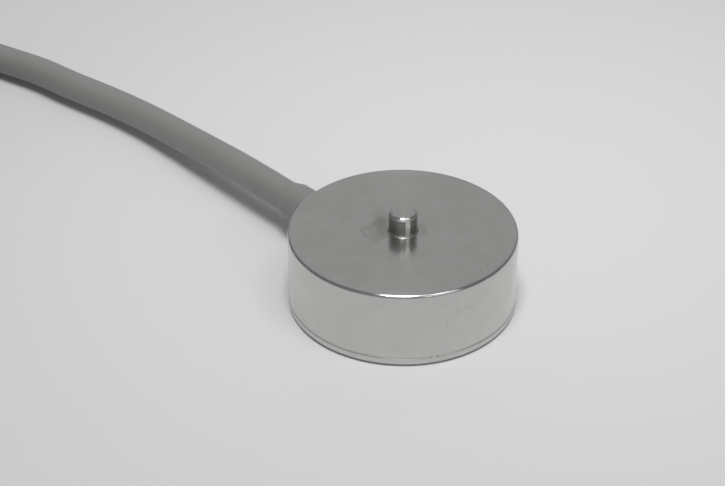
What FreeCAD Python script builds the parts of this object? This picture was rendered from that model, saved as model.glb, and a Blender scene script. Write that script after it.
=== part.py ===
import FreeCAD, Part
import math
import os
import Sketcher

# Miniature button load cell for compression: a turned stainless steel disc with a load button on its
# diaphragm, a welded base plate, a bridge of strain gauges inside and a signal cable out of its side.
# All lengths are millimetres. The origin is the centre of the base's underside, +Z is the load axis
# and the cable leaves towards -X.

SIZES = [
    ("body_diameter", 20.0, "outside of the disc"),
    ("body_height", 7.25, "underside of the base to the top of the rim"),
    ("rim_edge_radius", 0.3, "rounded upper edge of the disc"),
    ("wall_thickness", 2.8, "rim between the outside and the gauge chamber"),
    ("diaphragm_thickness", 1.0, "web that bends under the load"),
    ("diaphragm_fillet", 0.4, "where the web runs into the rim and the boss"),
    ("boss_diameter", 4.4, "stiff centre under the load button"),
    ("boss_height", 1.0, "how far the boss hangs below the web"),
    ("button_diameter", 2.5, "load button"),
    ("button_height", 1.9, "load button above the top of the disc"),
    ("button_edge_radius", 0.3, "rounded top edge of the button"),
    ("button_root_radius", 0.35, "fillet at the foot of the button"),
    ("base_thickness", 0.82, "flange of the base plate"),
    ("base_edge_chamfer", 0.28, "lower edge of the base plate"),
    ("seam_chamfer", 0.04, "each side of the welded seam"),
    ("locating_height", 0.45, "locating ring of the base plate"),
    ("locating_wall", 1.0, "locating ring of the base plate"),
    ("locating_clearance", 0.05, "locating ring in the chamber, on the radius"),
    ("film_thickness", 0.05, "carrier film of a gauge"),
    ("film_width", 1.7, "carrier film of a gauge"),
    ("film_margin", 0.1, "carrier film to the fillets of the web"),
    ("foil_thickness", 0.02, "metal foil of a gauge"),
    ("strand_width", 0.1, "one strand of the gauge's grid"),
    ("strand_count", 5, "strands of the gauge's grid"),
    ("grid_width", 1.1, "over the outer strands"),
    ("tab_size", 0.5, "solder tab of a gauge, square"),
    ("tab_spacing", 0.95, "between the middles of a gauge's two tabs"),
    ("gauge_lead_diameter", 0.15, "fine wire from a tab to the board"),
    ("board_thickness", 0.6, "terminal board under the boss"),
    ("board_margin", 0.6, "board past the circle of the gauge leads"),
    ("chip_length", 1.6, "trimming resistor"),
    ("chip_width", 0.8, "trimming resistor"),
    ("chip_height", 0.42, "trimming resistor"),
    ("chip_cap", 0.32, "metal end of a trimming resistor"),
    ("chip_cap_thickness", 0.03, "metal end of a trimming resistor"),
    ("chip_spacing", 2.4, "between the middles of the two resistors"),
    ("chip_place", 1.5, "resistors from the centre, away from the cable"),
    ("cable_diameter", 2.9, "jacket of the signal cable"),
    ("core_diameter", 0.7, "one insulated core"),
    ("core_spacing", 0.74, "between the middles of neighbouring cores"),
    ("jacket_lip", 0.2, "jacket past the crimp ring, inside"),
    ("crimp_length", 1.0, "crimp ring on the jacket, inside"),
    ("crimp_wall", 0.25, "crimp ring on the jacket, inside"),
    ("crimp_gap", 0.02, "crimp ring to the wall of the chamber"),
    ("sleeve_wall", 0.32, "strain relief sleeve on the cable"),
    ("sleeve_reach", 5.1, "strain relief sleeve past the outside of the disc"),
    ("sleeve_taper", 1.0, "thinner end of the strain relief sleeve"),
    ("sleeve_lip", 0.05, "wall at the very end of the strain relief sleeve"),
    ("port_depth", 3.85, "axis of the cable port below the top of the disc"),
    ("port_clearance", 0.02, "sleeve in its port, on the radius"),
    ("board_gap", 1.25, "flat of the board to the end of the jacket"),
    ("upper_core_straight", 0.4, "upper cores before they bend up to the board"),
    ("lower_core_straight", 0.9, "lower cores before they bend up to the board"),
    ("upper_pad_place", 1.9, "where the upper cores point to, from the flat of the board"),
    ("lower_pad_place", 2.9, "where the lower cores point to, from the flat of the board"),
    ("upper_pad_spread", 1.9, "where the upper cores point to, from the middle"),
    ("lower_pad_spread", 0.6, "where the lower cores point to, from the middle"),
    ("coil_mean_diameter", 30.0, "coil at the middle of its turns"),
    ("coil_columns", 3, "turns side by side"),
    ("coil_layers", 6, "turns on top of each other"),
    ("coil_spacing", 0.05, "between neighbouring turns"),
    ("coil_slack", 0.15, "outline of the coil round its turns"),
    ("coil_corner", 1.0, "corners of the coil's section, cut at 45 degrees"),
    ("coil_x", -64.0, "middle of the coil"),
    ("coil_y", -28.0, "middle of the coil"),
    ("tie_thickness", 0.8, "band of a tie"),
    ("tie_width", 2.5, "band of a tie"),
    ("tie_slack", 0.1, "band of a tie beside the coil"),
    ("tie_corner", 0.7, "corners of a tie's band, inside, cut at 45 degrees"),
    ("tie_head_depth", 3.0, "head of a tie, outwards"),
    ("tie_head_size", 4.2, "head of a tie, along and across the band"),
    ("end_sleeve_wall", 0.3, "shrink sleeve at the cable's free end"),
    ("end_sleeve_grip", 4.5, "shrink sleeve on the jacket"),
    ("end_sleeve_reach", 4.0, "shrink sleeve past the jacket"),
    ("end_sleeve_bore", 1.8, "shrink sleeve round the leads"),
    ("end_sleeve_nose", 2.6, "outside of the shrink sleeve at its tip"),
    ("free_end_x", -20.0, "end of the jacket at the free end"),
    ("free_end_y", -44.6, "end of the jacket at the free end"),
    ("outer_lead_fan", 3.0, "ends of the outer leads from the middle"),
    ("inner_lead_fan", 1.2, "ends of the inner leads from the middle"),
    ("upper_lead_height", 0.45, "outer leads above the floor, where they start to spread"),
    ("lower_lead_height", 0.05, "inner leads above the floor, where they start to spread"),
    ("tip_diameter", 0.35, "bared and tinned end of a lead"),
    ("tip_length", 4.0, "bared and tinned end of a lead"),
    ("drain_diameter", 0.3, "drain wire of the shield"),
]


class Size:
    """A length with the sheet expression that drives it, so that sums of sizes stay bound to the sheet."""

    def __init__(self, text, number):
        self.text = text
        self.number = number

    def __float__(self):
        return float(self.number)

    def __add__(self, other):
        return Size(f"({self.text} + {words(other)})", self.number + float(other))

    def __sub__(self, other):
        return Size(f"({self.text} - {words(other)})", self.number - float(other))

    def __mul__(self, other):
        return Size(f"({self.text} * {words(other)})", self.number * float(other))

    def __truediv__(self, other):
        return Size(f"({self.text} / {words(other)})", self.number / float(other))

    def __neg__(self):
        return Size(f"(-{self.text})", -self.number)


def words(value):
    return value.text if isinstance(value, Size) else repr(float(value))


def third_side(long_side, side):
    """The other short side of a right-angled triangle."""
    number = math.sqrt(long_side.number**2 - side.number**2)
    return Size(f"sqrt({long_side.text} ^ 2 - {side.text} ^ 2)", number)


doc = FreeCAD.newDocument("load_cell")
sheet = doc.addObject("Spreadsheet::Sheet", "Sizes")
for row, (alias, number, meaning) in enumerate(SIZES, start=1):
    sheet.set(f"A{row}", alias)
    sheet.set(f"B{row}", str(number))
    sheet.set(f"C{row}", meaning)
    sheet.setAlias(f"B{row}", alias)
doc.recompute()
size = {alias: Size(f"Sizes.{alias}", number) for alias, number, _ in SIZES}

# Radii and heights of the body that several pieces share.
body_radius = size["body_diameter"] / 2
chamber_radius = body_radius - size["wall_thickness"]
boss_radius = size["boss_diameter"] / 2
button_radius = size["button_diameter"] / 2
base_top = size["base_thickness"]
body_top = size["body_height"]
button_top = body_top + size["button_height"]
web_under = body_top - size["diaphragm_thickness"]
boss_face = web_under - size["boss_height"]
board_under = boss_face - size["board_thickness"]
port_height = body_top - size["port_depth"]

# Pieces along the axis of the cable port, as distances from the load axis.
cable_radius = size["cable_diameter"] / 2
crimp_radius = cable_radius + size["crimp_wall"]
sleeve_radius = cable_radius + size["sleeve_wall"]
port_radius = sleeve_radius + size["port_clearance"]
crimp_outer_face = third_side(chamber_radius, sleeve_radius) - size["crimp_gap"]
crimp_inner_face = crimp_outer_face - size["crimp_length"]
jacket_end = crimp_inner_face - size["jacket_lip"]
sleeve_end = body_radius + size["sleeve_reach"]
board_flat = jacket_end - size["board_gap"]

# The gauges' solder tabs lie on one circle, half way between the boss and the rim.
tab_circle = (boss_radius + chamber_radius) / 2
film_reach = (chamber_radius - boss_radius) / 2 - size["diaphragm_fillet"] - size["film_margin"]
board_radius = tab_circle + size["board_margin"]
foil_under = web_under - size["film_thickness"] - size["foil_thickness"]

# The coil lies on its ties, beside the floor's own surface at z = 0.
coil_pitch = size["cable_diameter"] + size["coil_spacing"]
coil_mean_radius = size["coil_mean_diameter"] / 2
coil_half_width = coil_pitch * size["coil_columns"] / 2 + size["coil_slack"]
coil_inside = coil_mean_radius - coil_half_width
coil_outside = coil_mean_radius + coil_half_width
coil_under = size["tie_thickness"]
coil_top = coil_under + coil_pitch * size["coil_layers"]
outer_turn = coil_mean_radius + coil_pitch * (size["coil_columns"] - 1) / 2
lowest_turn = coil_under + coil_pitch / 2
highest_turn = coil_top - coil_pitch / 2

# Where the cable joins the coil and leaves it, as angles round the coil.
COIL_ENTRY_DEGREES = 170.0
COIL_EXIT_DEGREES = 275.0
TIE_DEGREES = (20.0, 225.0)

# Directions of the four gauges round the load axis, the cable being at 180 degrees.
INNER_GAUGE_DEGREES = (45.0, 225.0)
OUTER_GAUGE_DEGREES = (135.0, 315.0)


def bind(item, prop, value):
    item.setExpression(prop, value.text)


def new_body(label):
    body = doc.addObject("PartDesign::Body", label)
    body.Label = label
    return body


def new_sketch(body, name, role, normal_offset=None, upward_offset=None):
    """A sketch on one of the body's own origin planes, moved along its normal or up its own Y."""
    sketch = body.newObject("Sketcher::SketchObject", name)
    plane = [feature for feature in body.Origin.OriginFeatures if feature.Role == role][0]
    sketch.AttachmentSupport = [(plane, "")]
    sketch.MapMode = "FlatFace"
    if normal_offset is not None:
        bind(sketch, "AttachmentOffset.Base.z", normal_offset)
    if upward_offset is not None:
        bind(sketch, "AttachmentOffset.Base.y", upward_offset)
    return sketch


def fix_point(sketch, geometry, vertex, x, y):
    """Holds one vertex of a sketch at x and y, measured from the sketch's origin."""
    if float(x) == 0 and float(y) == 0:
        sketch.addConstraint(Sketcher.Constraint("Coincident", geometry, vertex, -1, 1))
        return
    for axis, zero_line, value in (("X", -2, x), ("Y", -1, y)):
        if float(value) == 0:
            sketch.addConstraint(Sketcher.Constraint("PointOnObject", geometry, vertex, zero_line))
            continue
        kind = "Distance" + axis
        if float(value) > 0:
            rule = Sketcher.Constraint(kind, -1, 1, geometry, vertex, float(value))
        else:
            rule = Sketcher.Constraint(kind, geometry, vertex, -1, 1, -float(value))
            value = -value
        name_and_bind(sketch, sketch.addConstraint(rule), f"{axis.lower()}_{geometry}_{vertex}", value)


def name_and_bind(sketch, number, name, value):
    sketch.renameConstraint(number, name)
    bind(sketch, f"Constraints.{name}", value)


def draw_outline(sketch, corners):
    """A closed outline of straight lines, each corner held by its own two sizes."""
    points = [FreeCAD.Vector(float(x), float(y), 0) for x, y in corners]
    first = sketch.GeometryCount
    count = len(points)
    for i in range(count):
        sketch.addGeometry(Part.LineSegment(points[i], points[(i + 1) % count]), False)
    for i in range(count):
        following = first + (i + 1) % count
        sketch.addConstraint(Sketcher.Constraint("Coincident", first + i, 2, following, 1))
    for i, (x, y) in enumerate(corners):
        fix_point(sketch, first + i, 1, x, y)


def draw_rectangle(sketch, left, right, lower, upper):
    draw_outline(sketch, [(left, lower), (right, lower), (right, upper), (left, upper)])


def draw_circle(sketch, x, y, radius):
    centre = FreeCAD.Vector(float(x), float(y), 0)
    circle = Part.Circle(centre, FreeCAD.Vector(0, 0, 1), float(radius))
    geometry = sketch.addGeometry(circle, False)
    fix_point(sketch, geometry, 3, x, y)
    rule = Sketcher.Constraint("Radius", geometry, float(radius))
    name_and_bind(sketch, sketch.addConstraint(rule), f"radius_{geometry}", radius)


def revolve(body, sketch, axis):
    turned = body.newObject("PartDesign::Revolution", "turned")
    turned.Profile = sketch
    turned.ReferenceAxis = (sketch, [axis])
    turned.Angle = 360
    doc.recompute()
    return turned


def pad(body, name, sketch, length, both_ways=False, reverse=False):
    grown = body.newObject("PartDesign::Pad", name)
    grown.Profile = sketch
    bind(grown, "Length", length)
    if both_ways:
        grown.SideType = "Symmetric"
    grown.Reversed = reverse
    doc.recompute()
    return grown


def pocket(body, name, sketch, length, reverse=False):
    """A pocket that has to take material away."""
    before = body.Shape.Volume
    cut = body.newObject("PartDesign::Pocket", name)
    cut.Profile = sketch
    bind(cut, "Length", length)
    cut.Reversed = reverse
    doc.recompute()
    if not body.Shape.Volume < before:
        raise RuntimeError(f"{body.Label}: {name} cuts nothing")
    return cut


def rings_at(feature, radius, height):
    """Names of a turned feature's circular edges of one radius at one height."""
    names = []
    for number, edge in enumerate(feature.Shape.Edges, start=1):
        curve = edge.Curve
        if not isinstance(curve, Part.Circle) or abs(curve.Radius - float(radius)) > 1e-6:
            continue
        if abs(curve.Center.z - float(height)) < 1e-6:
            names.append(f"Edge{number}")
    if not names:
        raise RuntimeError(f"no edge of radius {float(radius)} at height {float(height)}")
    return names


def soften(body, kind, name, base, places, amount):
    """A fillet or chamfer on the circular edges at the given radii and heights."""
    edges = [edge for radius, height in places for edge in rings_at(base, radius, height)]
    softened = body.newObject(f"PartDesign::{kind}", name)
    softened.Base = (base, edges)
    bind(softened, "Radius" if kind == "Fillet" else "Size", amount)
    doc.recompute()
    return softened


def make_sensing_body():
    """The spring element, turned from one piece: button, diaphragm, boss, rim and cable port."""
    body = new_body("sensing_body")
    section = new_sketch(body, "body_section", "XZ_Plane")
    draw_outline(
        section,
        [
            (0, boss_face),
            (boss_radius, boss_face),
            (boss_radius, web_under),
            (chamber_radius, web_under),
            (chamber_radius, base_top),
            (body_radius, base_top),
            (body_radius, body_top),
            (button_radius, body_top),
            (button_radius, button_top),
            (0, button_top),
        ],
    )
    form = revolve(body, section, "V_Axis")
    web_corners = [(boss_radius, web_under), (chamber_radius, web_under)]
    form = soften(body, "Fillet", "web_fillets", form, web_corners, size["diaphragm_fillet"])
    form = soften(body, "Fillet", "rim_edge", form, [(body_radius, body_top)], size["rim_edge_radius"])
    root = [(button_radius, body_top)]
    form = soften(body, "Fillet", "button_root", form, root, size["button_root_radius"])
    crown = [(button_radius, button_top)]
    form = soften(body, "Fillet", "button_edge", form, crown, size["button_edge_radius"])
    soften(body, "Chamfer", "seam_edge", form, [(body_radius, base_top)], size["seam_chamfer"])
    port = new_sketch(body, "port_circle", "YZ_Plane", normal_offset=-board_flat)
    draw_circle(port, 0, port_height, port_radius)
    pocket(body, "cable_port", port, body_radius)
    return body


def make_base_plate():
    """The bottom cover: a flat flange and a locating ring, relieved below the cable."""
    body = new_body("base_plate")
    ring_radius = chamber_radius - size["locating_clearance"]
    ring_inside = ring_radius - size["locating_wall"]
    ring_top = base_top + size["locating_height"]
    section = new_sketch(body, "plate_section", "XZ_Plane")
    draw_outline(
        section,
        [
            (0, 0),
            (body_radius, 0),
            (body_radius, base_top),
            (ring_radius, base_top),
            (ring_radius, ring_top),
            (ring_inside, ring_top),
            (ring_inside, base_top),
            (0, base_top),
        ],
    )
    form = revolve(body, section, "V_Axis")
    form = soften(body, "Chamfer", "lower_edge", form, [(body_radius, 0)], size["base_edge_chamfer"])
    soften(body, "Chamfer", "seam_edge", form, [(body_radius, base_top)], size["seam_chamfer"])
    relief = new_sketch(body, "relief_outline", "XY_Plane", normal_offset=ring_top)
    half_width = crimp_radius + size["locating_clearance"]
    draw_rectangle(relief, -chamber_radius, -board_flat, -half_width, half_width)
    pocket(body, "cable_relief", relief, size["locating_height"])
    return body


def make_gauge(label, degrees, outward):
    """A foil strain gauge under the web: film, two tabs on the tab circle and a grid along the radius."""
    body = new_body(label)
    way = 1 if outward else -1
    film_under = web_under - size["film_thickness"]
    tab_half = size["tab_size"] / 2
    film_half = size["film_width"] / 2
    near_end = tab_circle - (tab_half + size["film_margin"]) * way
    far_end = tab_circle + film_reach * way
    low, high = (near_end, far_end) if outward else (far_end, near_end)
    film = new_sketch(body, "film_outline", "XY_Plane", normal_offset=film_under)
    draw_rectangle(film, low, high, -film_half, film_half)
    pad(body, "film", film, size["film_thickness"])
    tabs = new_sketch(body, "tab_outline", "XY_Plane", normal_offset=film_under)
    for side in (-1, 1):
        middle = size["tab_spacing"] / 2 * side
        draw_rectangle(tabs, tab_circle - tab_half, tab_circle + tab_half, middle - tab_half, middle + tab_half)
    pad(body, "tabs", tabs, size["foil_thickness"], reverse=True)
    grid_near = tab_circle + tab_half * way
    grid_far = far_end - size["film_margin"] * way
    low, high = (grid_near, grid_far) if outward else (grid_far, grid_near)
    edge = -size["grid_width"] / 2
    strand = new_sketch(body, "strand_outline", "XY_Plane", normal_offset=film_under)
    draw_rectangle(strand, low, high, edge, edge + size["strand_width"])
    one_strand = pad(body, "strand", strand, size["foil_thickness"], reverse=True)
    grid = body.newObject("PartDesign::LinearPattern", "grid")
    grid.Originals = [one_strand]
    grid.Direction = (strand, ["V_Axis"])
    bind(grid, "Length", size["grid_width"] - size["strand_width"])
    bind(grid, "Occurrences", size["strand_count"])
    body.Tip = grid
    body.Placement = FreeCAD.Placement(FreeCAD.Vector(), FreeCAD.Rotation(FreeCAD.Vector(0, 0, 1), degrees))
    return body


def make_gauge_leads():
    """Fine wires, straight down from each gauge's two tabs to the board."""
    wires = []
    for degrees in INNER_GAUGE_DEGREES + OUTER_GAUGE_DEGREES:
        angle = math.radians(degrees)
        for side in (-0.5, 0.5):
            wire = doc.addObject("Part::Cylinder", "gauge_lead_wire")
            bind(wire, "Radius", size["gauge_lead_diameter"] / 2)
            bind(wire, "Height", foil_under - boss_face)
            along = tab_circle
            across = size["tab_spacing"] * side
            bind(wire, "Placement.Base.x", along * math.cos(angle) - across * math.sin(angle))
            bind(wire, "Placement.Base.y", along * math.sin(angle) + across * math.cos(angle))
            bind(wire, "Placement.Base.z", boss_face)
            wires.append(wire)
    group = doc.addObject("Part::Compound", "gauge_leads")
    group.Label = "gauge_leads"
    group.Links = wires
    return group


def make_terminal_board():
    """A round board bonded under the boss, with a flat that leaves room for the cable."""
    body = new_body("terminal_board")
    disc = new_sketch(body, "board_outline", "XY_Plane", normal_offset=board_under)
    draw_circle(disc, 0, 0, board_radius)
    pad(body, "disc", disc, size["board_thickness"])
    flat = new_sketch(body, "flat_outline", "XY_Plane", normal_offset=boss_face)
    draw_rectangle(flat, -board_radius * 2, -board_flat, -board_radius, board_radius)
    pocket(body, "flat", flat, size["board_thickness"])
    return body


def make_chip(label, side):
    """A chip resistor under the board, with a metal cap on each end."""
    body = new_body(label)
    middle = size["chip_spacing"] / 2 * side
    half_length = size["chip_length"] / 2
    half_width = size["chip_width"] / 2
    left = size["chip_place"] - half_length
    right = size["chip_place"] + half_length
    block = new_sketch(body, "chip_outline", "XY_Plane", normal_offset=board_under)
    draw_rectangle(block, left, right, middle - half_width, middle + half_width)
    pad(body, "block", block, size["chip_height"], reverse=True)
    caps = new_sketch(body, "cap_outline", "XY_Plane", normal_offset=board_under)
    cap_half = half_width + size["chip_cap_thickness"]
    for start, end in ((left, left + size["chip_cap"]), (right - size["chip_cap"], right)):
        draw_rectangle(caps, start, end, middle - cap_half, middle + cap_half)
    pad(body, "caps", caps, size["chip_height"] + size["chip_cap_thickness"], reverse=True)
    return body


def make_port_piece(label, corners):
    """A piece turned about the axis of the cable port."""
    body = new_body(label)
    section = new_sketch(body, label + "_section", "XZ_Plane", upward_offset=port_height)
    draw_outline(section, corners)
    revolve(body, section, "H_Axis")
    return body


def make_crimp_ring():
    corners = [
        (-crimp_outer_face, cable_radius),
        (-crimp_outer_face, crimp_radius),
        (-crimp_inner_face, crimp_radius),
        (-crimp_inner_face, cable_radius),
    ]
    return make_port_piece("crimp_ring", corners)


def make_cable_sleeve():
    """The strain relief: a sleeve through the port that thins out towards its free end."""
    corners = [
        (-sleeve_end, cable_radius),
        (-sleeve_end, cable_radius + size["sleeve_lip"]),
        (-(sleeve_end - size["sleeve_taper"]), sleeve_radius),
        (-crimp_outer_face, sleeve_radius),
        (-crimp_outer_face, cable_radius),
    ]
    return make_port_piece("cable_sleeve", corners)


def make_coil():
    """The outer shape of the put-away length of cable."""
    body = new_body("cable_coil")
    section = new_sketch(body, "coil_section", "XZ_Plane")
    draw_rectangle(section, coil_inside, coil_outside, coil_under, coil_top)
    form = revolve(body, section, "V_Axis")
    places = [(radius, height) for radius in (coil_inside, coil_outside) for height in (coil_under, coil_top)]
    soften(body, "Chamfer", "section_corners", form, places, size["coil_corner"])
    body.Placement = coil_place(0)
    return body


def coil_place(degrees):
    middle = FreeCAD.Vector(float(size["coil_x"]), float(size["coil_y"]), 0)
    return FreeCAD.Placement(middle, FreeCAD.Rotation(FreeCAD.Vector(0, 0, 1), degrees))


def cut_rectangle(left, right, lower, upper, corner):
    """A rectangle with its corners cut off at 45 degrees."""
    return [
        (left + corner, lower),
        (right - corner, lower),
        (right, lower + corner),
        (right, upper - corner),
        (right - corner, upper),
        (left + corner, upper),
        (left, upper - corner),
        (left, lower + corner),
    ]


def make_tie(label, degrees):
    """A strap round the coil's bundle of turns, with its head on the outer side."""
    body = new_body(label)
    inner_left = coil_inside - size["tie_slack"]
    inner_right = coil_outside + size["tie_slack"]
    thick = size["tie_thickness"]
    corner = size["tie_corner"]
    outer_corner = corner + thick * (2 - math.sqrt(2))
    band = new_sketch(body, "band_outline", "XZ_Plane")
    outer = cut_rectangle(
        inner_left - thick, inner_right + thick, coil_under - thick, coil_top + thick, outer_corner
    )
    draw_outline(band, outer)
    draw_outline(band, cut_rectangle(inner_left, inner_right, coil_under, coil_top, corner))
    pad(body, "band", band, size["tie_width"], both_ways=True)
    head = new_sketch(body, "head_outline", "XZ_Plane")
    middle = (coil_under + coil_top) / 2
    half = size["tie_head_size"] / 2
    draw_rectangle(head, inner_right, inner_right + size["tie_head_depth"], middle - half, middle + half)
    pad(body, "head", head, size["tie_head_size"], both_ways=True)
    body.Placement = coil_place(degrees)
    return body


def round_path(points, note):
    """Straight runs joined by arcs as large as the runs allow. Prints the radii."""
    edges = []
    radii = []
    start = points[0]
    for before, corner, after in zip(points, points[1:], points[2:]):
        arriving = (corner - before).normalize()
        leaving = (after - corner).normalize()
        turn = arriving.getAngle(leaving)
        setback = 0.45 * min((corner - before).Length, (after - corner).Length)
        radius = setback / math.tan(turn / 2)
        radii.append(radius)
        first = corner - arriving * setback
        last = corner + leaving * setback
        inward = (leaving - arriving).normalize()
        middle = corner + inward * (radius / math.cos(turn / 2) - radius)
        edges.append(Part.LineSegment(start, first).toShape())
        edges.append(Part.Arc(first, middle, last).toShape())
        start = last
    edges.append(Part.LineSegment(start, points[-1]).toShape())
    if note:
        print(note, "arc radii", ", ".join(f"{radius:.1f}" for radius in radii))
    return Part.Wire(edges)


def tube(points, diameter, note=""):
    """A round solid along a rounded path, with its volume set against section times length."""
    path = round_path(points, note)
    circle = Part.Circle(points[0], points[1] - points[0], diameter / 2)
    solid = path.makePipeShell([Part.Wire(circle.toShape())], True, False)
    expected = math.pi * diameter**2 / 4 * path.Length
    if note:
        print(note, f"length {path.Length:.2f}, volume {solid.Volume:.2f}, section times length {expected:.2f}")
    if abs(solid.Volume - expected) > 0.01 * expected:
        raise RuntimeError(f"{note}: the tube's volume is wrong")
    return solid


def new_solid(label, shape):
    piece = doc.addObject("Part::Feature", label)
    piece.Label = label
    piece.Shape = shape
    piece.Placement = FreeCAD.Placement()
    return piece


def vector(x, y, z):
    return FreeCAD.Vector(float(x), float(y), float(z))


def coil_point(degrees, height):
    angle = math.radians(degrees)
    x = size["coil_x"] + outer_turn * math.cos(angle)
    y = size["coil_y"] + outer_turn * math.sin(angle)
    return vector(x, y, height)


def make_cable_run(coil):
    """The cable from the crimp ring, out of the wall, down to the floor and into the coil."""
    floor_height = float(cable_radius)
    route = [
        vector(-jacket_end, 0, port_height),
        vector(-22.0, 0, port_height),
        vector(-32.0, 0.4, floor_height + 1.0),
        vector(-42.5, -0.1, floor_height + 0.5),
        vector(-53.0, -1.9, floor_height + 0.45),
        vector(-63.0, -4.6, floor_height + 0.4),
        vector(-72.0, -8.6, floor_height + 0.45),
        vector(-78.2, -14.4, floor_height + 0.6),
        coil_point(COIL_ENTRY_DEGREES, lowest_turn),
    ]
    return new_solid("cable_run", tube(route, float(size["cable_diameter"]), "cable_run").cut(coil.Shape))


# At the free end the jacket stops in its shrink sleeve on the floor, and the leads go on towards +X.
end_sleeve_radius = cable_radius + size["end_sleeve_wall"]
free_end = vector(size["free_end_x"], size["free_end_y"], end_sleeve_radius)


def make_cable_tail(coil):
    """The cable from the top of the coil down to its free end on the floor."""
    route = [
        coil_point(COIL_EXIT_DEGREES, highest_turn),
        vector(-54.0, -45.3, 16.4),
        vector(-45.6, -44.95, 12.3),
        vector(-37.2, -44.75, 6.5),
        free_end - vector(8.5, 0, 0),
        free_end,
    ]
    return new_solid("cable_tail", tube(route, float(size["cable_diameter"]), "cable_tail").cut(coil.Shape))


def make_end_sleeve():
    """A shrink sleeve over the end of the jacket and the root of the leads."""
    body = new_body("end_sleeve")
    section = new_sketch(body, "end_sleeve_section", "XZ_Plane")
    draw_outline(
        section,
        [
            (-size["end_sleeve_grip"], cable_radius),
            (-size["end_sleeve_grip"], end_sleeve_radius),
            (size["jacket_lip"], end_sleeve_radius),
            (size["end_sleeve_reach"], size["end_sleeve_nose"] / 2),
            (size["end_sleeve_reach"], size["end_sleeve_bore"] / 2),
            (0, size["end_sleeve_bore"] / 2),
            (0, cable_radius),
        ],
    )
    revolve(body, section, "H_Axis")
    body.Placement.Base = free_end
    return body


# Each core's colour and its place in the cable: which side of the middle, and which row.
CORES = [("red", 1, "upper"), ("white", 1, "lower"), ("green", -1, "lower"), ("black", -1, "upper")]


def core_offset(side, row):
    """A core's place beside the cable's own axis."""
    half = float(size["core_spacing"]) / 2
    return vector(0, side * half, half if row == "upper" else -half)


def make_core(colour, side, row):
    """A core inside the chamber, from the end of the jacket up to the board, cut off flush below it."""
    start = vector(-jacket_end, 0, port_height) + core_offset(side, row)
    bend = start + vector(size[row + "_core_straight"], 0, 0)
    target = vector(size[row + "_pad_place"] - board_flat, size[row + "_pad_spread"] * side, boss_face)
    reach = float(chamber_radius)
    above_board = Part.makeBox(2 * reach, 2 * reach, reach, vector(-reach, -reach, board_under))
    core = tube([start, bend, target], float(size["core_diameter"])).cut(above_board)
    return new_solid("core_" + colour, core)


def make_lead(colour, side, row):
    """A free lead that fans out on the floor, and the bared tip that goes on from its end."""
    on_floor = float(size["core_diameter"]) / 2 - float(end_sleeve_radius)
    fan = side * float(size["outer_lead_fan" if row == "upper" else "inner_lead_fan"])
    start = free_end + core_offset(side, row)
    route = [
        start,
        start + vector(6.0, 0, 0),
        free_end + vector(15.0, 0.75 * fan, on_floor + float(size[row + "_lead_height"])),
        free_end + vector(25.5, fan, on_floor),
    ]
    lead = new_solid("lead_" + colour, tube(route, float(size["core_diameter"])))
    way = route[-1] - route[-2]
    tip = Part.makeCylinder(float(size["tip_diameter"]) / 2, float(size["tip_length"]), route[-1], way)
    return lead, tip


def make_lead_shield():
    """The bare drain wire, from the middle of the cable to the floor between the leads."""
    on_floor = float(size["drain_diameter"]) / 2 - float(end_sleeve_radius)
    route = [
        free_end,
        free_end + vector(6.0, 0, 0),
        free_end + vector(13.0, 0.1, on_floor + 0.6),
        free_end + vector(20.0, -0.1, on_floor),
    ]
    return new_solid("lead_shield", tube(route, float(size["drain_diameter"])))


pieces = [make_sensing_body(), make_base_plate()]
for number, degrees in enumerate(INNER_GAUGE_DEGREES, start=1):
    pieces.append(make_gauge(f"strain_gauge_inner_{number}", degrees, outward=False))
for number, degrees in enumerate(OUTER_GAUGE_DEGREES, start=1):
    pieces.append(make_gauge(f"strain_gauge_outer_{number}", degrees, outward=True))
pieces.append(make_gauge_leads())
pieces.append(make_terminal_board())
pieces.append(make_chip("zero_resistor", 1))
pieces.append(make_chip("span_resistor", -1))
pieces.append(make_crimp_ring())
pieces.append(make_cable_sleeve())
coil = make_coil()
pieces.append(coil)
for number, degrees in enumerate(TIE_DEGREES, start=1):
    pieces.append(make_tie(f"coil_tie_{number}", degrees))
pieces.append(make_end_sleeve())
doc.recompute()
pieces.append(make_cable_run(coil))
pieces.append(make_cable_tail(coil))
tips = []
for colour, side, row in CORES:
    pieces.append(make_core(colour, side, row))
    lead, tip = make_lead(colour, side, row)
    pieces.append(lead)
    tips.append(tip)
pieces.append(new_solid("lead_tips", Part.makeCompound(tips)))
pieces.append(make_lead_shield())
doc.recompute()

for item in doc.Objects:
    if "Invalid" in item.State or "Error" in item.State:
        raise RuntimeError(f"{item.Label} failed: {item.State}")
for piece in pieces:
    if piece.Shape.isNull() or not piece.Shape.isValid():
        raise RuntimeError(f"{piece.Label} has no valid shape")

os.makedirs("parts", exist_ok=True)
for piece in pieces:
    piece.Shape.exportStep(f"parts/{piece.Label}.step")
print(len(pieces), "pieces written")
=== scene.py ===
import bpy
import math
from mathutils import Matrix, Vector


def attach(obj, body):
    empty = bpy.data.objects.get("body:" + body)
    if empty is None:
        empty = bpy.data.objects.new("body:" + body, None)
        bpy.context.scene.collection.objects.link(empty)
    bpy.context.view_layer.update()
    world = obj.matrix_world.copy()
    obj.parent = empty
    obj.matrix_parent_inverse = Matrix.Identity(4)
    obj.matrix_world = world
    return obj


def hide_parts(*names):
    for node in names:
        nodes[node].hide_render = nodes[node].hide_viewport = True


# A miniature button load cell on a pale table: a turned steel disc with a load button, a welded bottom
# cover and a grey signal cable, whose spare length lies coiled and tied. Places and sizes are millimetres
# in the part's own frame, and MM turns them into metres.

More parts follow.
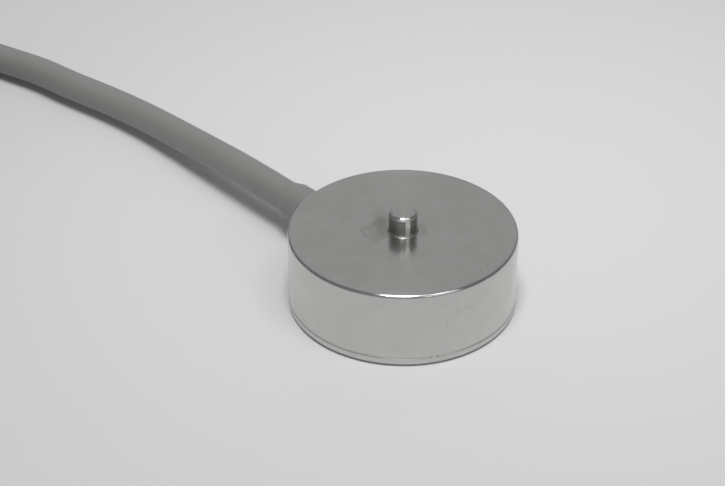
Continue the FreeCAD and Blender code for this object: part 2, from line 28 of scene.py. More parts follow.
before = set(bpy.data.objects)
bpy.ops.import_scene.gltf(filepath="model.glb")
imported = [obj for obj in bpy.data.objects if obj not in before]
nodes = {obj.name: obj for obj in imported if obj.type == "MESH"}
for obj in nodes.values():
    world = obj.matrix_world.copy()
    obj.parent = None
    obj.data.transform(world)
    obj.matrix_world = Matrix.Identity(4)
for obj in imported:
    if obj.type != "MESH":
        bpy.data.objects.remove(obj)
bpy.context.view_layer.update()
scene = bpy.context.scene
scene.view_settings.view_transform = "Standard"

MM = 0.001
BODY = "root"

# Camera: where it stands, what it looks at and its lens on a 36 mm wide sensor.
CAMERA_PLACE = (109.0, -104.78, 107.85)
CAMERA_TARGET = (-8.77, 3.3, 0.0)
CAMERA_LENS = 104.28
SENSOR_WIDTH = 36.0

# The disc, its load button and the bottom cover.
BODY_RADIUS = 10.0
BODY_TOP = 7.25
RIM_EDGE = 0.3
CHAMBER_RADIUS = 7.2
WEB_UNDER = 6.25
WEB_FILLET = 0.4
BOSS_RADIUS = 2.2
BOSS_FACE = 5.25
BUTTON_RADIUS = 1.25
BUTTON_TOP = 9.15
BUTTON_EDGE = 0.3
BUTTON_ROOT = 0.15
COVER_TOP = 0.82
COVER_EDGE = 0.28
SEAM_EDGE = 0.03
LOCATING_RADIUS = 7.15
LOCATING_INSIDE = 6.15
LOCATING_TOP = 1.27
RELIEF_HALF_WIDTH = 1.75
BOARD_FLAT = 4.51

# The cable port, the sleeve in it and the signal cable.
PORT_HEIGHT = 3.4
PORT_RADIUS = 1.79
PORT_START = 4.5
CABLE_DIAMETER = 2.9
CABLE_RADIUS = CABLE_DIAMETER / 2
SLEEVE_RADIUS = 1.77
SLEEVE_INSIDE = 6.96
SLEEVE_OUTSIDE = 15.1
SLEEVE_TAPER = 1.0
SLEEVE_LIP = 0.05
CABLE_STEPS = 5
CABLE_ROUND_STEPS = 6

# The cable's way from the disc to its coil, and from the coil to its free end.
CABLE_ROUTE = [
    (-5.76, 0, 3.4),
    (-12, 0, 3.4),
    (-17, 0, 3.4),
    (-22, 0.05, 3.35),
    (-27, 0.2, 2.95),
    (-32, 0.4, 2.5),
    (-37, 0.45, 2.15),
    (-42.5, -0.1, 2.0),
    (-48, -1.2, 2.0),
    (-52, -1.6, 1.95),
    (-56, -2.65, 1.85),
    (-60, -3.75, 1.85),
    (-64.5, -5.1, 1.85),
    (-71, -8.0, 1.95),
    (-76.8, -12.3, 2.05),
    (-80.3, -18.3, 2.15),
]
TAIL_ROUTE = [
    (-54.0, -45.3, 16.4),
    (-45.6, -44.95, 12.3),
    (-37.2, -44.75, 6.5),
    (-28.5, -44.6, 1.75),
    (-20.0, -44.6, 1.75),
]

# The coil: columns side by side and layers on top of each other, from the angle where the cable joins it
# to the angle where it leaves. The shifts are the parts of a turn in which it goes over to the next place.
COIL_MIDDLE = (-64.0, -28.0)
COIL_MEAN_RADIUS = 15.0
COIL_COLUMNS = 3
COIL_LAYERS = 6
COIL_PITCH = 2.95
COIL_UNDER = 0.8
COIL_ENTRY_DEGREES = 170.0
COIL_EXIT_DEGREES = 275.0
POINTS_PER_TURN = 24
COLUMN_SHIFT = (0.5, 0.75)
LAYER_SHIFT = (0.75, 1.0)

# Directions of the view, level with the table: away from the camera, and to its right.
AWAY = Vector((CAMERA_TARGET[0] - CAMERA_PLACE[0], CAMERA_TARGET[1] - CAMERA_PLACE[1], 0)).normalized()
RIGHT = Vector((AWAY.y, -AWAY.x, 0))


def place_camera():
    lens = bpy.data.cameras.new("photo_camera")
    lens.lens = CAMERA_LENS
    lens.sensor_width = SENSOR_WIDTH
    lens.clip_start = MM
    camera = bpy.data.objects.new("photo_camera", lens)
    scene.collection.objects.link(camera)
    camera.location = Vector(CAMERA_PLACE) * MM
    sight = Vector(CAMERA_TARGET) - Vector(CAMERA_PLACE)
    camera.rotation_euler = sight.to_track_quat("-Z", "Y").to_euler()
    scene.camera = camera


def ease(value, start, end):
    """0 before start, 1 after end and a soft step between them."""
    share = min(max((value - start) / (end - start), 0.0), 1.0)
    return share * share * (3 - 2 * share)


def coil_slot(number):
    """Radius and height of one turn: inwards along one layer, back outwards along the next."""
    layer, place = divmod(number, COIL_COLUMNS)
    column = place if layer % 2 == 0 else COIL_COLUMNS - 1 - place
    radius = COIL_MEAN_RADIUS + ((COIL_COLUMNS - 1) / 2 - column) * COIL_PITCH
    height = COIL_UNDER + (layer + 0.5) * COIL_PITCH
    return radius, height


def coil_turns():
    """Points along the put-away turns, each turn going over to the next one's place near its end."""
    whole_turns = COIL_COLUMNS * COIL_LAYERS - 1
    turns = whole_turns + (COIL_EXIT_DEGREES - COIL_ENTRY_DEGREES) / 360
    outward = 1 / math.cos(math.pi / POINTS_PER_TURN)
    points = []
    for step in range(round(turns * POINTS_PER_TURN) + 1):
        number, part = divmod(step / POINTS_PER_TURN, 1)
        radius, height = coil_slot(int(number))
        if number < whole_turns:
            next_radius, next_height = coil_slot(int(number) + 1)
            radius += (next_radius - radius) * ease(part, *COLUMN_SHIFT)
            height += (next_height - height) * ease(part, *LAYER_SHIFT)
        angle = math.radians(COIL_ENTRY_DEGREES) + 2 * math.pi * step / POINTS_PER_TURN
        x = COIL_MIDDLE[0] + radius * outward * math.cos(angle)
        y = COIL_MIDDLE[1] + radius * outward * math.sin(angle)
        points.append((x, y, height))
    return points


def lay_cable():
    """The whole cable as one curve: to the coil, round it and on to the free end."""
    line = bpy.data.curves.new("signal_cable", "CURVE")
    line.dimensions = "3D"
    spline = line.splines.new("NURBS")
    points = CABLE_ROUTE + coil_turns() + TAIL_ROUTE
    spline.points.add(len(points) - 1)
    for point, place in zip(spline.points, points):
        point.co = (*(Vector(place) * MM), 1)
        point.radius = CABLE_RADIUS * MM
    spline.order_u = 3
    spline.use_endpoint_u = True
    spline.resolution_u = CABLE_STEPS
    line.bevel_depth = 1.0
    line.bevel_resolution = CABLE_ROUND_STEPS
    line.use_fill_caps = True
    cable = bpy.data.objects.new("signal_cable", line)
    scene.collection.objects.link(cable)
    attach(cable, BODY)
    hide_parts("cable_run", "cable_coil", "cable_tail")
    return cable


place_camera()
cable = lay_cable()


# Finishes: helpers that build nodes

def new_finish(name):
    finish = bpy.data.materials.new(name)
    finish.use_nodes = True
    return finish, finish.node_tree, finish.node_tree.nodes["Principled BSDF"]


def add_node(tree, kind, settings=None, inputs=None):
    """A node with its settings, and its inputs set to a value or linked from another node's output."""
    node = tree.nodes.new(kind)
    for name, value in (settings or {}).items():
        setattr(node, name, value)
    for name, value in (inputs or {}).items():
        if isinstance(value, bpy.types.NodeSocket):
            tree.links.new(value, node.inputs[name])
        else:
            node.inputs[name].default_value = value
    return node


def calculate(tree, operation, first, second=0.0):
    """One step of arithmetic; the second value counts only where the operation takes two."""
    node = add_node(tree, "ShaderNodeMath", {"operation": operation}, {0: first, 1: second})
    return node.outputs[0]


def product(tree, first, second):
    return calculate(tree, "MULTIPLY", first, second)


def larger(tree, first, second):
    return calculate(tree, "MAXIMUM", first, second)


def vector_math(tree, operation, inputs, output="Vector"):
    return add_node(tree, "ShaderNodeVectorMath", {"operation": operation}, inputs).outputs[output]


def soft_step(tree, value, start, end):
    """0 where the value is start, 1 where it is end."""
    inputs = {"Value": value, "From Min": start, "From Max": end}
    node = add_node(tree, "ShaderNodeMapRange", {"interpolation_type": "SMOOTHSTEP"}, inputs)
    return node.outputs["Result"]


def spread(tree, value, low, high):
    """Turns 0 to 1 into low to high."""
    inputs = {"Value": value, "To Min": low, "To Max": high}
    return add_node(tree, "ShaderNodeMapRange", None, inputs).outputs["Result"]


def blend(tree, share, first, second):
    """The first value where the share is 0, the second where it is 1."""
    return add_node(tree, "ShaderNodeMix", None, {0: share, 2: first, 3: second}).outputs[0]


def blend_colours(tree, share, first, second):
    inputs = {0: share}
    for number, colour in ((6, first), (7, second)):
        inputs[number] = (*colour, 1) if isinstance(colour, tuple) else colour
    return add_node(tree, "ShaderNodeMix", {"data_type": "RGBA"}, inputs).outputs[2]


def place_in_mm(tree):
    coordinates = add_node(tree, "ShaderNodeTexCoord").outputs["Object"]
    return vector_math(tree, "SCALE", {0: coordinates, "Scale": 1 / MM})


def distance_to(tree, place, point):
    return vector_math(tree, "DISTANCE", {0: place, 1: point}, "Value")


def noise(tree, place, scale, detail=2.0):
    inputs = {"Vector": place, "Scale": scale, "Detail": detail}
    return add_node(tree, "ShaderNodeTexNoise", None, inputs).outputs["Fac"]


def line_noise(tree, value):
    """Fine tool lines: noise that changes along one measure only, such as a height or a radius."""
    inputs = {"W": value, "Scale": TOOL_LINE_SCALE, "Detail": TOOL_LINE_DETAIL}
    return add_node(tree, "ShaderNodeTexNoise", {"noise_dimensions": "1D"}, inputs).outputs["Fac"]


def bump(tree, shader, height, strength, depth):
    inputs = {"Height": height, "Strength": strength, "Distance": depth * MM}
    node = add_node(tree, "ShaderNodeBump", None, inputs)
    tree.links.new(node.outputs["Normal"], shader.inputs["Normal"])


def vary_colour(tree, shader, share, first, second):
    tree.links.new(blend_colours(tree, share, first, second), shader.inputs["Base Color"])


def vary_roughness(tree, shader, share, middle, swing):
    roughness = spread(tree, share, middle - swing, middle + swing)
    tree.links.new(roughness, shader.inputs["Roughness"])


# Turned steel: its colours, its tool lines, and how far these draw reflections out into streaks.
STEEL = (0.62, 0.618, 0.608)
# The darker steel colour serves both for stains and for painted shade.
STEEL_STAIN_AND_SHADE = (0.36, 0.352, 0.335)
CLOUD_SCALE = 0.6
CLOUD_DETAIL = 4.0
CLOUD_SHADES = (-0.1, 0.3)
TOOL_LINE_SCALE = 14.0
TOOL_LINE_DETAIL = 3.0
TOOL_LINE_STRENGTH = 0.12
TOOL_LINE_DEPTH = 0.004
TOP_LINE_RANGE = (0.4, 0.6)
STREAK = 0.86
STREAK_TURN = 0.25

# Zones of the steel: the radii or heights where each one starts and is full.
ZONE_FADE = 0.05
TOP_HEIGHTS = (BODY_TOP - RIM_EDGE, BODY_TOP - 0.02)
LOW_HEIGHTS = (BODY_TOP + 0.3, BODY_TOP + 0.2)
SHOULDER_HEIGHTS = (BUTTON_TOP - 0.2, BUTTON_TOP - 0.08)
BUTTON_FOOT_HEIGHTS = (BODY_TOP + 1.4, BODY_TOP + 0.5)
FOOT_HEIGHTS = (COVER_EDGE + 0.03, COVER_EDGE - 0.03)
BUTTON_RADII = (BUTTON_RADIUS + BUTTON_ROOT, BUTTON_RADIUS)
WORN_RADII = (3.0, 1.4)
OUTER_RADII = (8.6, 9.7)
SEAM_REACH = 0.26
ROOT_REACH = 0.12

# How rough the zones are, and how dark some of them. The darkening of the button's root and foot is
# painted shade.
TOP_ROUGHNESS = (0.14, 0.185)
WALL_ROUGHNESS = (0.13, 0.18)
WORN_ROUGHNESS = 0.21
OUTER_ROUGHNESS = 0.2
RIM_ROUGHNESS = 0.2
SHOULDER_ROUGHNESS = (0.6, 0.23)
ROOT_ROUGHNESS = 0.6
SEAM_ROUGHNESS = 0.35
FOOT_ROUGHNESS = 0.55
SEAM_SHADE = 0.33
BUTTON_FOOT_PAINTED_SHADE = 0.75
ROOT_PAINTED_SHADE = 0.8

# Marks on the steel: a middle, how far the mark reaches and how dark it is. The middles on the top are
# given across the view and along it, where the slant of the view draws lengths in.
VIEW_TURN = math.atan2(RIGHT.y, RIGHT.x)
VIEW_SLANT = 1.78
TOP_MARKS_AND_PAINTED_SHADE = [
    ((-1.9, 0.55), 1.15, 0.8),
    ((-1.65, -0.1), 1.05, 0.7),
    ((-2.3, -0.6), 0.9, 0.45),
    ((-2.7, 0.3), 0.8, 0.35),
    ((-2.0, 1.3), 1.2, 0.3),
    # Painted shade: this patch at the right of the button's foot stands for its contact shadow.
    ((1.5, 0.1), 0.95, 0.45),
    ((7.0, -3.0), 0.3, 0.3),
    ((6.46, -3.4), 0.3, 0.3),
]
WALL_MARKS = [
    ((9.2, -3.9, 5.9), 1.0, 0.3),
    ((9.5, -3.1, 5.5), 1.3, 0.42),
    ((9.62, -2.7, 5.2), 1.2, 0.46),
    ((9.87, -1.6, 5.3), 1.4, 0.4),
    ((9.67, -2.54, 4.25), 1.4, 0.32),
    ((9.33, -3.61, 4.2), 1.6, 0.36),
    ((9.5, -3.1, 3.2), 1.5, 0.25),
]
SEAM_DOTS = [
    ((8.35, -5.5, COVER_TOP), 0.16, 0.8),
    ((8.71, -4.91, COVER_TOP), 0.22, 0.8),
    ((9.0, -4.36, COVER_TOP), 0.22, 1.0),
    ((9.2, -3.9, COVER_TOP), 0.16, 0.6),
]
MARK_CORE = 0.25
THUMB_LOOP = (-3.12, -0.16)
THUMB_LOOP_RADIUS = 0.36
THUMB_LOOP_WIDTH = 0.38
THUMB_LOOP_SHADE = 0.42

# The outlines of the marks wander by noise, and the scuffs on the wall are broken up by it.
NOISE_MIDDLE = (0.5, 0.5, 0.5)
WANDER_SCALE = 1.6
WANDER_REACH = (0.7, 0.7, 0.3)
SCUFF_SCALE = 1.7
SCUFF_RANGE = (0.4, 0.68)
SCUFF_SHADE = 0.8
MARK_DETAIL = 3.0


def darkest_mark(tree, place, marks, stain=0.0):
    for middle, reach, dark in marks:
        spot = soft_step(tree, distance_to(tree, place, middle), reach, reach * MARK_CORE)
        stain = larger(tree, stain, product(tree, spot, dark))
    return stain


def wandering_place(tree, place):
    """The place, shifted by noise, so that marks measured in it have uneven outlines."""
    inputs = {"Vector": place, "Scale": WANDER_SCALE, "Detail": MARK_DETAIL}
    wander = add_node(tree, "ShaderNodeTexNoise", None, inputs).outputs["Color"]
    shift = vector_math(tree, "SUBTRACT", {0: wander, 1: NOISE_MIDDLE})
    return vector_math(tree, "MULTIPLY_ADD", {0: shift, 1: WANDER_REACH, 2: place})


def top_marks_and_painted_shade(tree, place):
    """A dark cloud and a thumb mark beside the button, painted contact shade at its right foot, and two
    small spots.
    """
    inputs = {"Vector": place, "Rotation": (0, 0, VIEW_TURN), "Scale": (1, VIEW_SLANT, 1)}
    as_seen = add_node(tree, "ShaderNodeMapping", {"vector_type": "TEXTURE"}, inputs).outputs[0]
    seen_flat = vector_math(tree, "MULTIPLY", {0: as_seen, 1: (1, 1, 0)})
    from_middle = distance_to(tree, seen_flat, (*THUMB_LOOP, 0))
    from_loop = calculate(tree, "ABSOLUTE", calculate(tree, "SUBTRACT", from_middle, THUMB_LOOP_RADIUS))
    loop = product(tree, soft_step(tree, from_loop, THUMB_LOOP_WIDTH, 0.0), THUMB_LOOP_SHADE)
    flat_marks_and_shade = [((*middle, 0), reach, dark) for middle, reach, dark in TOP_MARKS_AND_PAINTED_SHADE]
    return darkest_mark(tree, seen_flat, flat_marks_and_shade, loop)


def wall_marks(tree, place, sway):
    """Faint, broken scuffs on the wall and small dots on the seam."""
    broken = soft_step(tree, noise(tree, place, SCUFF_SCALE, MARK_DETAIL), *SCUFF_RANGE)
    broken = product(tree, broken, SCUFF_SHADE)
    scuffs = product(tree, darkest_mark(tree, sway, WALL_MARKS), broken)
    return darkest_mark(tree, place, SEAM_DOTS, scuffs)


def ring_zone(tree, radius, height, limit_radius, limit_height, side=1):
    """1 beyond a radius and above a height, or with side -1 within that radius and below that height."""
    fade = ZONE_FADE * side
    past_radius = soft_step(tree, radius, limit_radius - fade, limit_radius + fade)
    past_height = soft_step(tree, height, limit_height - fade, limit_height + fade)
    return product(tree, past_radius, past_height)


def turned_steel():
    """Fine turned stainless steel: rings on the top, lines round the wall, smudges and a few scuffs, and
    painted shade at and beside the button's foot.
    """
    finish, tree, shader = new_finish("turned_steel")
    place = place_in_mm(tree)
    height = add_node(tree, "ShaderNodeSeparateXYZ", None, {0: place}).outputs["Z"]
    level = vector_math(tree, "MULTIPLY", {0: place, 1: (1, 1, 0)})
    radius = vector_math(tree, "LENGTH", {0: level}, "Value")
    rings = line_noise(tree, radius)
    lines = line_noise(tree, height)

    # Zones
    on_top = soft_step(tree, height, *TOP_HEIGHTS)
    from_seam = calculate(tree, "ABSOLUTE", calculate(tree, "SUBTRACT", height, COVER_TOP))
    seam = soft_step(tree, from_seam, SEAM_REACH, 0.0)
    foot = soft_step(tree, height, *FOOT_HEIGHTS)
    rim_edge = ring_zone(tree, radius, height, BODY_RADIUS - RIM_EDGE, BODY_TOP - RIM_EDGE)
    button_edge = ring_zone(tree, radius, height, BUTTON_RADIUS - BUTTON_EDGE, BUTTON_TOP - BUTTON_EDGE)
    # The root fillet is darkened as painted shade, which dims its highlight.
    root = ring_zone(tree, radius, height, BUTTON_RADIUS + ROOT_REACH, BODY_TOP + ROOT_REACH, -1)
    root = product(tree, root, on_top)
    low = product(tree, soft_step(tree, height, *LOW_HEIGHTS), on_top)
    worn_ring = product(tree, soft_step(tree, radius, *WORN_RADII), low)
    outer_ring = product(tree, soft_step(tree, radius, *OUTER_RADII), on_top)
    on_button = product(tree, soft_step(tree, radius, *BUTTON_RADII), on_top)
    # Painted shade: the lower button wall is darkened so that its reflection fades towards the foot.
    button_foot = product(tree, on_button, soft_step(tree, height, *BUTTON_FOOT_HEIGHTS))

    # Colour: stains and smudges, and painted shade at the button's foot and root
    sway = wandering_place(tree, place)
    shade = blend(tree, on_top, wall_marks(tree, place, sway), top_marks_and_painted_shade(tree, sway))
    cloud = spread(tree, noise(tree, place, CLOUD_SCALE, CLOUD_DETAIL), *CLOUD_SHADES)
    shade = larger(tree, shade, cloud)
    for zone, zone_shade in ((seam, SEAM_SHADE), (button_foot, BUTTON_FOOT_PAINTED_SHADE), (root, ROOT_PAINTED_SHADE)):
        shade = larger(tree, shade, product(tree, zone, zone_shade))
    vary_colour(tree, shader, shade, STEEL, STEEL_STAIN_AND_SHADE)
    shader.inputs["Metallic"].default_value = 1.0

    # Roughness, a later zone over an earlier one
    top_roughness = spread(tree, rings, *TOP_ROUGHNESS)
    wall_roughness = spread(tree, lines, *WALL_ROUGHNESS)
    roughness = blend(tree, on_top, wall_roughness, top_roughness)
    shoulder_roughness = spread(tree, soft_step(tree, height, *SHOULDER_HEIGHTS), *SHOULDER_ROUGHNESS)
    zones = [
        (worn_ring, WORN_ROUGHNESS),
        (outer_ring, OUTER_ROUGHNESS),
        (rim_edge, RIM_ROUGHNESS),
        (button_edge, shoulder_roughness),
        (root, ROOT_ROUGHNESS),
        (seam, SEAM_ROUGHNESS),
        (foot, FOOT_ROUGHNESS),
    ]
    for zone, zone_roughness in zones:
        roughness = blend(tree, zone, roughness, zone_roughness)
    tree.links.new(roughness, shader.inputs["Roughness"])

    # Tool lines
    around = add_node(tree, "ShaderNodeTangent", {"direction_type": "RADIAL", "axis": "Z"}).outputs[0]
    tree.links.new(around, shader.inputs["Tangent"])
    shader.inputs["Anisotropic"].default_value = STREAK
    shader.inputs["Anisotropic Rotation"].default_value = STREAK_TURN
    tool_lines = blend(tree, on_top, lines, spread(tree, rings, *TOP_LINE_RANGE))
    bump(tree, shader, tool_lines, TOOL_LINE_STRENGTH, TOOL_LINE_DEPTH)
    return finish


# The plainer finishes: colours, and how rough and grainy they are.
JACKET_DARK = (0.235, 0.235, 0.23)
JACKET_PALE = (0.265, 0.265, 0.258)
JACKET_ROUGHNESS = 0.48
JACKET_SHEEN = 0.12
PLASTIC_SWING = 0.06
METAL_SWING = 0.08


def cable_jacket():
    """Matt grey jacket with a faint grain."""
    finish, tree, shader = new_finish("grey_jacket")
    place = place_in_mm(tree)
    vary_colour(tree, shader, noise(tree, place, scale=0.25, detail=3.0), JACKET_DARK, JACKET_PALE)
    vary_roughness(tree, shader, noise(tree, place, scale=3.0), JACKET_ROUGHNESS, PLASTIC_SWING)
    shader.inputs["Sheen Weight"].default_value = JACKET_SHEEN
    bump(tree, shader, noise(tree, place, scale=9.0, detail=3.0), strength=0.2, depth=0.01)
    return finish


def moulded_plastic(name, first, second, roughness):
    finish, tree, shader = new_finish(name)
    place = place_in_mm(tree)
    vary_colour(tree, shader, noise(tree, place, scale=0.8, detail=3.0), first, second)
    vary_roughness(tree, shader, noise(tree, place, scale=4.0), roughness, PLASTIC_SWING)
    bump(tree, shader, noise(tree, place, scale=12.0), strength=0.15, depth=0.006)
    return finish


def plain_metal(name, bright, dull, roughness):
    finish, tree, shader = new_finish(name)
    place = place_in_mm(tree)
    vary_colour(tree, shader, noise(tree, place, scale=2.5, detail=4.0), bright, dull)
    shader.inputs["Metallic"].default_value = 1.0
    vary_roughness(tree, shader, noise(tree, place, scale=6.0), roughness, METAL_SWING)
    return finish


def dress(piece, finish):
    piece.data.materials.clear()
    piece.data.materials.append(finish)


# Pieces turned on a lathe

TURN_STEPS = 192
SMALL_TURN_STEPS = 64
JOIN_DISTANCE = 0.0005
RING_TOLERANCE = 0.01
SMOOTH_DEGREES = 40


def turn_on_lathe(name, section, middle, axis, steps):
    """Draws a section corner by corner and spins it about an axis through the middle."""
    bpy.ops.object.select_all(action="DESELECT")
    bpy.ops.mesh.primitive_plane_add(size=MM)
    piece = bpy.context.object
    piece.name = name
    bpy.ops.object.mode_set(mode="EDIT")
    bpy.ops.mesh.select_all(action="SELECT")
    bpy.ops.mesh.merge(type="CENTER")
    corners = [Vector(corner) * MM for corner in section]
    bpy.ops.transform.translate(value=corners[0])
    for here, following in zip(corners, corners[1:]):
        bpy.ops.mesh.extrude_vertices_move(TRANSFORM_OT_translate={"value": following - here})
    bpy.ops.mesh.select_all(action="SELECT")
    bpy.ops.mesh.spin(steps=steps, angle=2 * math.pi, center=Vector(middle) * MM, axis=axis)
    bpy.ops.mesh.select_all(action="SELECT")
    bpy.ops.mesh.remove_doubles(threshold=JOIN_DISTANCE * MM)
    bpy.ops.mesh.normals_make_consistent(inside=False)
    bpy.ops.object.mode_set(mode="OBJECT")
    return piece


def soften_ring(piece, radius, height, amount, segments=1):
    """Bevels one ring of edges about the load axis, or rounds it in several segments."""
    mesh = piece.data
    on_ring = []
    for vertex in mesh.vertices:
        far = abs(math.hypot(vertex.co.x, vertex.co.y) / MM - radius)
        off = abs(vertex.co.z / MM - height)
        on_ring.append(max(far, off) < RING_TOLERANCE)
    bpy.ops.object.mode_set(mode="EDIT")
    bpy.ops.mesh.select_mode(type="EDGE")
    bpy.ops.mesh.select_all(action="DESELECT")
    bpy.ops.object.mode_set(mode="OBJECT")
    for edge in mesh.edges:
        edge.select = on_ring[edge.vertices[0]] and on_ring[edge.vertices[1]]
    bpy.ops.object.mode_set(mode="EDIT")
    bpy.ops.mesh.bevel(offset=amount * MM, segments=segments, affect="EDGES")
    bpy.ops.mesh.select_mode(type="VERT")
    bpy.ops.object.mode_set(mode="OBJECT")


def cut_away(piece, tool):
    cut = piece.modifiers.new("cut", "BOOLEAN")
    cut.operation = "DIFFERENCE"
    cut.object = tool
    bpy.context.view_layer.objects.active = piece
    bpy.ops.object.modifier_apply(modifier=cut.name)
    bpy.data.objects.remove(tool)


def finish_turning(piece, node):
    bpy.ops.object.select_all(action="DESELECT")
    piece.select_set(True)
    bpy.context.view_layer.objects.active = piece
    bpy.ops.object.shade_smooth_by_angle(angle=math.radians(SMOOTH_DEGREES))
    flat_faces = piece.modifiers.new("flat_faces", "WEIGHTED_NORMAL")
    flat_faces.weight = 100
    flat_faces.keep_sharp = True
    bpy.ops.object.modifier_apply(modifier=flat_faces.name)
    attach(piece, BODY)
    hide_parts(node)


def turn_disc():
    section = [
        (0, 0, BOSS_FACE),
        (BOSS_RADIUS, 0, BOSS_FACE),
        (BOSS_RADIUS, 0, WEB_UNDER),
        (CHAMBER_RADIUS, 0, WEB_UNDER),
        (CHAMBER_RADIUS, 0, COVER_TOP),
        (BODY_RADIUS, 0, COVER_TOP),
        (BODY_RADIUS, 0, BODY_TOP),
        (BUTTON_RADIUS, 0, BODY_TOP),
        (BUTTON_RADIUS, 0, BUTTON_TOP),
        (0, 0, BUTTON_TOP),
    ]
    disc = turn_on_lathe("steel_disc", section, (0, 0, 0), (0, 0, 1), TURN_STEPS)
    soften_ring(disc, BODY_RADIUS, BODY_TOP, RIM_EDGE, segments=8)
    soften_ring(disc, BUTTON_RADIUS, BODY_TOP, BUTTON_ROOT, segments=6)
    soften_ring(disc, BUTTON_RADIUS, BUTTON_TOP, BUTTON_EDGE, segments=8)
    soften_ring(disc, CHAMBER_RADIUS, WEB_UNDER, WEB_FILLET, segments=4)
    soften_ring(disc, BOSS_RADIUS, WEB_UNDER, WEB_FILLET, segments=4)
    soften_ring(disc, BODY_RADIUS, COVER_TOP, SEAM_EDGE)
    bpy.ops.object.select_all(action="DESELECT")
    bpy.ops.mesh.primitive_cylinder_add(
        vertices=SMALL_TURN_STEPS,
        radius=PORT_RADIUS * MM,
        depth=BODY_RADIUS * MM,
        location=(-(PORT_START + BODY_RADIUS / 2) * MM, 0, PORT_HEIGHT * MM),
        rotation=(0, math.pi / 2, 0),
    )
    cut_away(disc, bpy.context.object)
    finish_turning(disc, "sensing_body")
    return disc


def turn_cover():
    section = [
        (0, 0, 0),
        (BODY_RADIUS, 0, 0),
        (BODY_RADIUS, 0, COVER_TOP),
        (LOCATING_RADIUS, 0, COVER_TOP),
        (LOCATING_RADIUS, 0, LOCATING_TOP),
        (LOCATING_INSIDE, 0, LOCATING_TOP),
        (LOCATING_INSIDE, 0, COVER_TOP),
        (0, 0, COVER_TOP),
    ]
    cover = turn_on_lathe("bottom_cover", section, (0, 0, 0), (0, 0, 1), TURN_STEPS)
    soften_ring(cover, BODY_RADIUS, 0, COVER_EDGE)
    soften_ring(cover, BODY_RADIUS, COVER_TOP, SEAM_EDGE)
    bpy.ops.object.select_all(action="DESELECT")
    bpy.ops.mesh.primitive_cube_add(
        size=1,
        location=(-(CHAMBER_RADIUS + BOARD_FLAT) / 2 * MM, 0, (COVER_TOP + LOCATING_TOP) / 2 * MM),
        scale=(
            (CHAMBER_RADIUS - BOARD_FLAT) * MM,
            2 * RELIEF_HALF_WIDTH * MM,
            (LOCATING_TOP - COVER_TOP) * MM,
        ),
    )
    cut_away(cover, bpy.context.object)
    finish_turning(cover, "base_plate")
    return cover


def turn_sleeve():
    inside = PORT_HEIGHT + CABLE_RADIUS
    outside = PORT_HEIGHT + SLEEVE_RADIUS
    section = [
        (-SLEEVE_OUTSIDE, 0, inside),
        (-SLEEVE_OUTSIDE, 0, inside + SLEEVE_LIP),
        (-SLEEVE_OUTSIDE + SLEEVE_TAPER, 0, outside),
        (-SLEEVE_INSIDE, 0, outside),
        (-SLEEVE_INSIDE, 0, inside),
        (-SLEEVE_OUTSIDE, 0, inside),
    ]
    sleeve = turn_on_lathe("relief_sleeve", section, (0, 0, PORT_HEIGHT), (1, 0, 0), SMALL_TURN_STEPS)
    finish_turning(sleeve, "cable_sleeve")
    return sleeve


disc = turn_disc()
cover = turn_cover()
sleeve = turn_sleeve()

steel = turned_steel()
jacket = cable_jacket()
dress(disc, steel)
dress(cover, steel)
dress(cable, jacket)
dress(sleeve, jacket)

# Pieces that keep the part's own solids

tinned = plain_metal("tinned_wire", (0.72, 0.72, 0.7), (0.58, 0.58, 0.56), 0.32)
gauge_film = moulded_plastic("gauge_film", (0.62, 0.4, 0.12), (0.5, 0.3, 0.08), 0.4)
nylon = moulded_plastic("natural_nylon", (0.74, 0.73, 0.69), (0.68, 0.67, 0.62), 0.42)
shrink = moulded_plastic("black_shrink", (0.022, 0.022, 0.023), (0.03, 0.03, 0.03), 0.5)
board_green = moulded_plastic("board_green", (0.04, 0.2, 0.08), (0.03, 0.15, 0.06), 0.45)
chip_black = moulded_plastic("chip_black", (0.03, 0.03, 0.032), (0.05, 0.05, 0.05), 0.4)
crimp_brass = plain_metal("crimp_brass", (0.72, 0.52, 0.24), (0.6, 0.42, 0.18), 0.35)
core_finishes = {
    "red": moulded_plastic("core_red", (0.5, 0.02, 0.02), (0.42, 0.015, 0.02), 0.35),
    "white": moulded_plastic("core_white", (0.78, 0.78, 0.75), (0.7, 0.7, 0.67), 0.35),
    "green": moulded_plastic("core_green", (0.03, 0.28, 0.07), (0.02, 0.22, 0.05), 0.35),
    "black": moulded_plastic("core_black", (0.02, 0.02, 0.02), (0.03, 0.03, 0.03), 0.35),
}
for number in (1, 2):
    dress(nodes[f"strain_gauge_inner_{number}"], gauge_film)
    dress(nodes[f"strain_gauge_outer_{number}"], gauge_film)
    dress(nodes[f"coil_tie_{number}"], nylon)
for colour, finish in core_finishes.items():
    dress(nodes["core_" + colour], finish)
    dress(nodes["lead_" + colour], finish)
for name in ("gauge_leads", "lead_tips", "lead_shield"):
    dress(nodes[name], tinned)
dress(nodes["terminal_board"], board_green)
dress(nodes["zero_resistor"], chip_black)
dress(nodes["span_resistor"], chip_black)
dress(nodes["crimp_ring"], crimp_brass)
dress(nodes["end_sleeve"], shrink)

# Table and light

TABLE_SIZE = 3.0
TABLE_COLOUR = (0.648, 0.655, 0.651)
# Painted light: a paler colour around the cell, with its middle and its reach, paints a pool of light on
# the table.
TABLE_PAINTED_LIGHT_COLOUR = (0.785, 0.793, 0.788)
TABLE_PAINTED_LIGHT_PLACE = (-8, 22, 0)
TABLE_PAINTED_LIGHT_REACH = (76, 5)
TABLE_ROUGHNESS = 0.8
TABLE_SHINE = 0.2


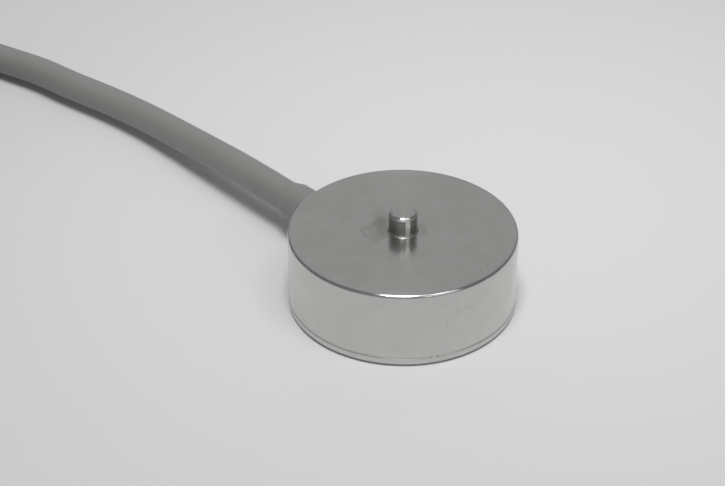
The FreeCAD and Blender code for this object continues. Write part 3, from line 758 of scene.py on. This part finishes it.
def lay_table():
    """A plain pale table, with a painted pool of light that makes it a little brighter around the cell."""
    bpy.ops.object.select_all(action="DESELECT")
    bpy.ops.mesh.primitive_plane_add(size=TABLE_SIZE)
    table = bpy.context.object
    table.name = "table"
    finish, tree, shader = new_finish("pale_table")
    # Painted light: the table's colour grows paler towards the cell.
    away = distance_to(tree, place_in_mm(tree), TABLE_PAINTED_LIGHT_PLACE)
    bright = soft_step(tree, away, *TABLE_PAINTED_LIGHT_REACH)
    vary_colour(tree, shader, bright, TABLE_COLOUR, TABLE_PAINTED_LIGHT_COLOUR)
    shader.inputs["Roughness"].default_value = TABLE_ROUGHNESS
    shader.inputs["Specular IOR Level"].default_value = TABLE_SHINE
    dress(table, finish)


def room_direction(sideways, elevation):
    """A direction in the room, from degrees right of straight away and degrees up."""
    turn = math.radians(sideways)
    level = AWAY * math.cos(turn) + RIGHT * math.sin(turn)
    rise = math.radians(elevation)
    return level * math.cos(rise) + Vector((0, 0, math.sin(rise)))


# Lamps: a name, where it hangs in metres, its level length, its width and its power in watts.
LAMPS = [
    ("ceiling_lamp", Vector((0.135, -0.16, 1.0)), 0.3, 0.36, 5.8),
    ("side_lamp", Vector((0.41, 0.14, 1.0)), 0.29, 0.36, 1.05),
    ("window", room_direction(142, 33), 0.57, 0.09, 0.55),
]
# Walls: the direction of the middle, how many degrees off it starts and is full, and its shade.
ROOM_SHADE = (0.19, 0.19, 0.19)
ROOM_WALLS = [
    (room_direction(0, 34), 50, 18, (0.43, 0.43, 0.43)),
    (room_direction(180, 30), 60, 25, (0.24, 0.24, 0.24)),
]


def hang_lamp(name, place, length, width, watts):
    """A flat lamp that faces the disc."""
    data = bpy.data.lights.new(name, "AREA")
    data.shape = "RECTANGLE"
    data.size = length
    data.size_y = width
    data.energy = watts
    lamp = bpy.data.objects.new(name, data)
    scene.collection.objects.link(lamp)
    lamp.location = place
    lamp.rotation_euler = (-place).to_track_quat("-Z", "Y").to_euler()


def light_room():
    """A dim room with a paler far wall, which the steel's top mirrors, and a slightly paler near wall."""
    world = bpy.data.worlds.new("room")
    scene.world = world
    world.use_nodes = True
    tree = world.node_tree
    direction = add_node(tree, "ShaderNodeTexCoord").outputs["Generated"]
    colour = ROOM_SHADE
    for towards, start, full, shade in ROOM_WALLS:
        facing = vector_math(tree, "DOT_PRODUCT", {0: direction, 1: towards}, "Value")
        share = soft_step(tree, facing, math.cos(math.radians(start)), math.cos(math.radians(full)))
        colour = blend_colours(tree, share, colour, shade)
    tree.links.new(colour, tree.nodes["Background"].inputs["Color"])


lay_table()
for lamp in LAMPS:
    hang_lamp(*lamp)
light_room()
